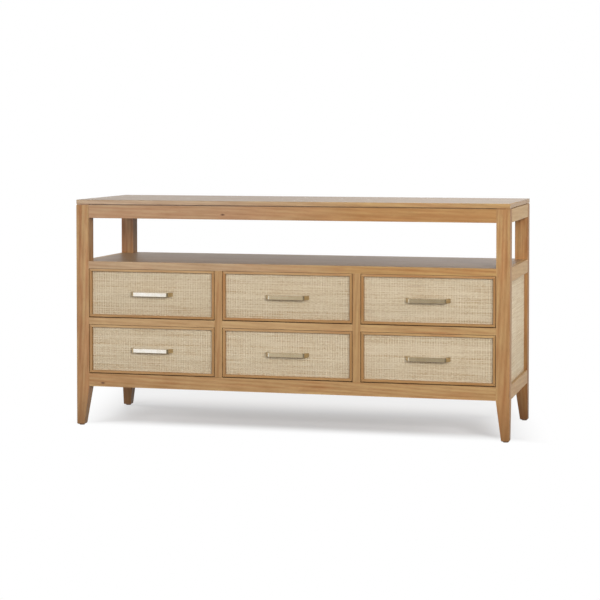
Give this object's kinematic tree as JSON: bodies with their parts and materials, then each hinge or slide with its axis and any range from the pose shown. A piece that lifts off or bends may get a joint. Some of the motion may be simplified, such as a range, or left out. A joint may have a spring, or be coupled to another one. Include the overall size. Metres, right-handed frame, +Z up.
{
  "type": "dresser",
  "caption": "Long low wooden dresser: post-and-rail frame on tapered legs, open shelf bay under the top, woven-cane drawer fronts and side panels, brass bow pulls.",
  "frame": {"origin": "on the floor, under the middle of the whole object's box", "axes": "+X to the right along the length as seen from the drawer fronts, +Y from the fronts to the back, +Z up"},
  "size_m": [1.5, 0.515, 0.78],
  "materials": {
    "oak": "satin clear lacquer, light brown",
    "cane": "closely woven natural cane, matt",
    "drawer_wood": "plain sanded softwood",
    "plywood": "thin sanded plywood",
    "brass": "satin brass",
    "steel": "zinc plated",
    "glide_plastic": "matt"
  },
  "bodies": {
    "carcass": {"post_front_left": "oak", "post_front_right": "oak", "post_back_left": "oak", "post_back_right": "oak", "top_board": "oak", "top_rail_front": "oak", "top_rail_back": "oak", "top_rail_left": "oak", "top_rail_right": "oak", "shelf_rail_front": "oak", "shelf_rail_back": "oak", "shelf_rail_left": "oak", "shelf_rail_right": "oak", "bottom_rail_front": "oak", "bottom_rail_back": "oak", "bottom_rail_left": "oak", "bottom_rail_right": "oak", "shelf_board": "oak", "stile_left": "oak", "stile_right": "oak", "cross_rails": "oak", "side_weave_left": "cane", "side_weave_right": "cane", "side_backings": "plywood", "back_panel": "plywood", "bottom_panel": "plywood", "partitions": "drawer_wood", "runners": "drawer_wood", "runner_screws": "steel", "foot_glides": "glide_plastic"},
    "upper_left_drawer": {"upper_left_frame": "oak", "upper_left_weave": "cane", "upper_left_box": "drawer_wood", "upper_left_bottom": "plywood", "upper_left_pull": "brass"},
    "upper_middle_drawer": {"upper_middle_frame": "oak", "upper_middle_weave": "cane", "upper_middle_box": "drawer_wood", "upper_middle_bottom": "plywood", "upper_middle_pull": "brass"},
    "upper_right_drawer": {"upper_right_frame": "oak", "upper_right_weave": "cane", "upper_right_box": "drawer_wood", "upper_right_bottom": "plywood", "upper_right_pull": "brass"},
    "lower_left_drawer": {"lower_left_frame": "oak", "lower_left_weave": "cane", "lower_left_box": "drawer_wood", "lower_left_bottom": "plywood", "lower_left_pull": "brass"},
    "lower_middle_drawer": {"lower_middle_frame": "oak", "lower_middle_weave": "cane", "lower_middle_box": "drawer_wood", "lower_middle_bottom": "plywood", "lower_middle_pull": "brass"},
    "lower_right_drawer": {"lower_right_frame": "oak", "lower_right_weave": "cane", "lower_right_box": "drawer_wood", "lower_right_bottom": "plywood", "lower_right_pull": "brass"}
  },
  "joints": [
    {"name": "upper_left_slide", "type": "slide", "parent": "carcass", "child": "upper_left_drawer", "axis": [0, -1, 0], "range_m": [0, 0.3]},
    {"name": "upper_middle_slide", "type": "slide", "parent": "carcass", "child": "upper_middle_drawer", "axis": [0, -1, 0], "range_m": [0, 0.3]},
    {"name": "upper_right_slide", "type": "slide", "parent": "carcass", "child": "upper_right_drawer", "axis": [0, -1, 0], "range_m": [0, 0.3]},
    {"name": "lower_left_slide", "type": "slide", "parent": "carcass", "child": "lower_left_drawer", "axis": [0, -1, 0], "range_m": [0, 0.3]},
    {"name": "lower_middle_slide", "type": "slide", "parent": "carcass", "child": "lower_middle_drawer", "axis": [0, -1, 0], "range_m": [0, 0.3]},
    {"name": "lower_right_slide", "type": "slide", "parent": "carcass", "child": "lower_right_drawer", "axis": [0, -1, 0], "range_m": [0, 0.3]}
  ]
}
